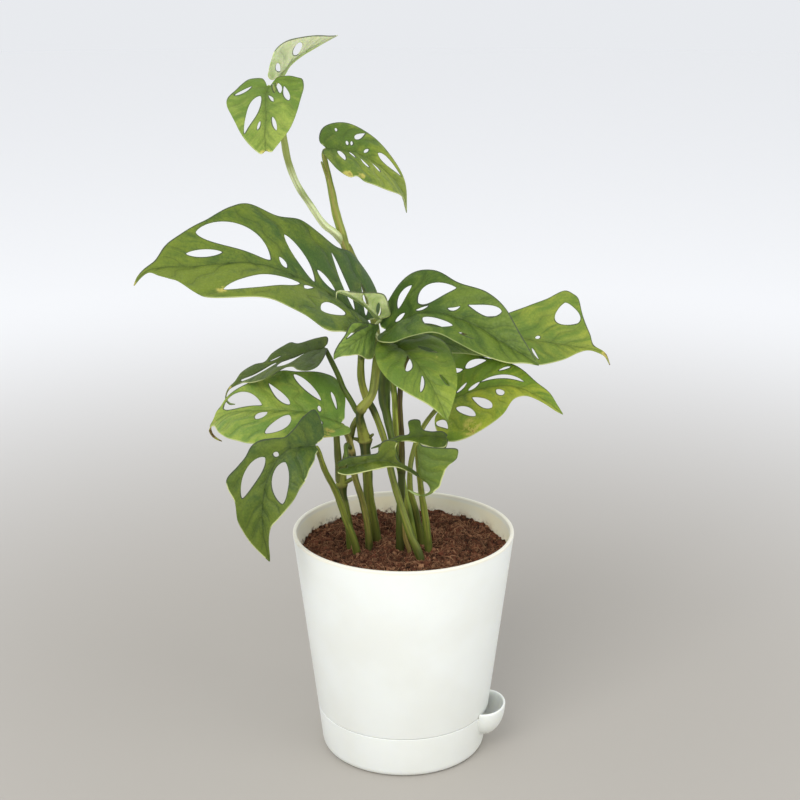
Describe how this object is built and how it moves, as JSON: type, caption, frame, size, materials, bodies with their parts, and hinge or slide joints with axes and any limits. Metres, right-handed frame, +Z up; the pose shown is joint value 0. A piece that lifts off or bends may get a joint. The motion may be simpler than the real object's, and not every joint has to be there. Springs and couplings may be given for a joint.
{
  "type": "potted swiss cheese plant",
  "caption": "Young swiss cheese vine with slotted leaves on slender stems, in a tapered self-watering pot with a water tray and a half-cup fill spout.",
  "frame": {"origin": "centre of the water tray's underside, on the pot's axis", "axes": "+Z up along the pot's axis, +X to the side of the fill spout, -Y to the side that the big leaves lean to"},
  "size_m": [0.2589, 0.1467, 0.4174],
  "materials": {
    "pot_plastic": "warm white satin injection-moulded plastic",
    "tray_plastic": "warm white satin injection-moulded plastic",
    "coir_mix": "loose reddish-brown coir and bark crumbs with pale fibres",
    "green_stem": "smooth yellow-green stem, slightly shiny",
    "olive_stem": "dull olive stem with brown sheath remains",
    "pale_stem": "soft pale young stem",
    "brown_stem": "dark brown woody petiole",
    "dry_stem": "dry tan stub",
    "leaf_green": "leathery satin leaf with pressed-in veins",
    "leaf_deep": "darker leathery satin leaf",
    "leaf_lime": "yellow-green leathery satin leaf",
    "leaf_young": "thin pale young leaf"
  },
  "bodies": {
    "root": {"water_tray": "tray_plastic", "pot": "pot_plastic", "potting_mix": "coir_mix", "vine_main": "green_stem", "vine_top": "pale_stem", "vine_side": "olive_stem", "dry_stub": "dry_stem", "petiole_01": "pale_stem", "petiole_02": "green_stem", "petiole_03": "green_stem", "petiole_04": "olive_stem", "petiole_05": "green_stem", "petiole_06": "pale_stem", "petiole_07": "green_stem", "petiole_08": "olive_stem", "petiole_09": "brown_stem", "petiole_10": "olive_stem", "petiole_11": "olive_stem", "petiole_12": "green_stem", "petiole_13": "green_stem", "petiole_14": "olive_stem", "petiole_15": "olive_stem", "petiole_16": "green_stem", "petiole_17": "olive_stem", "blade_01": "leaf_young", "blade_02": "leaf_green", "blade_03": "leaf_green", "blade_04": "leaf_green", "blade_05": "leaf_green", "blade_06": "leaf_young", "blade_07": "leaf_green", "blade_08": "leaf_green", "blade_09": "leaf_lime", "blade_10": "leaf_lime", "blade_11": "leaf_deep", "blade_12": "leaf_deep", "blade_13": "leaf_green", "blade_14": "leaf_deep", "blade_15": "leaf_deep", "blade_16": "leaf_lime", "blade_17": "leaf_green"}
  },
  "joints": []
}
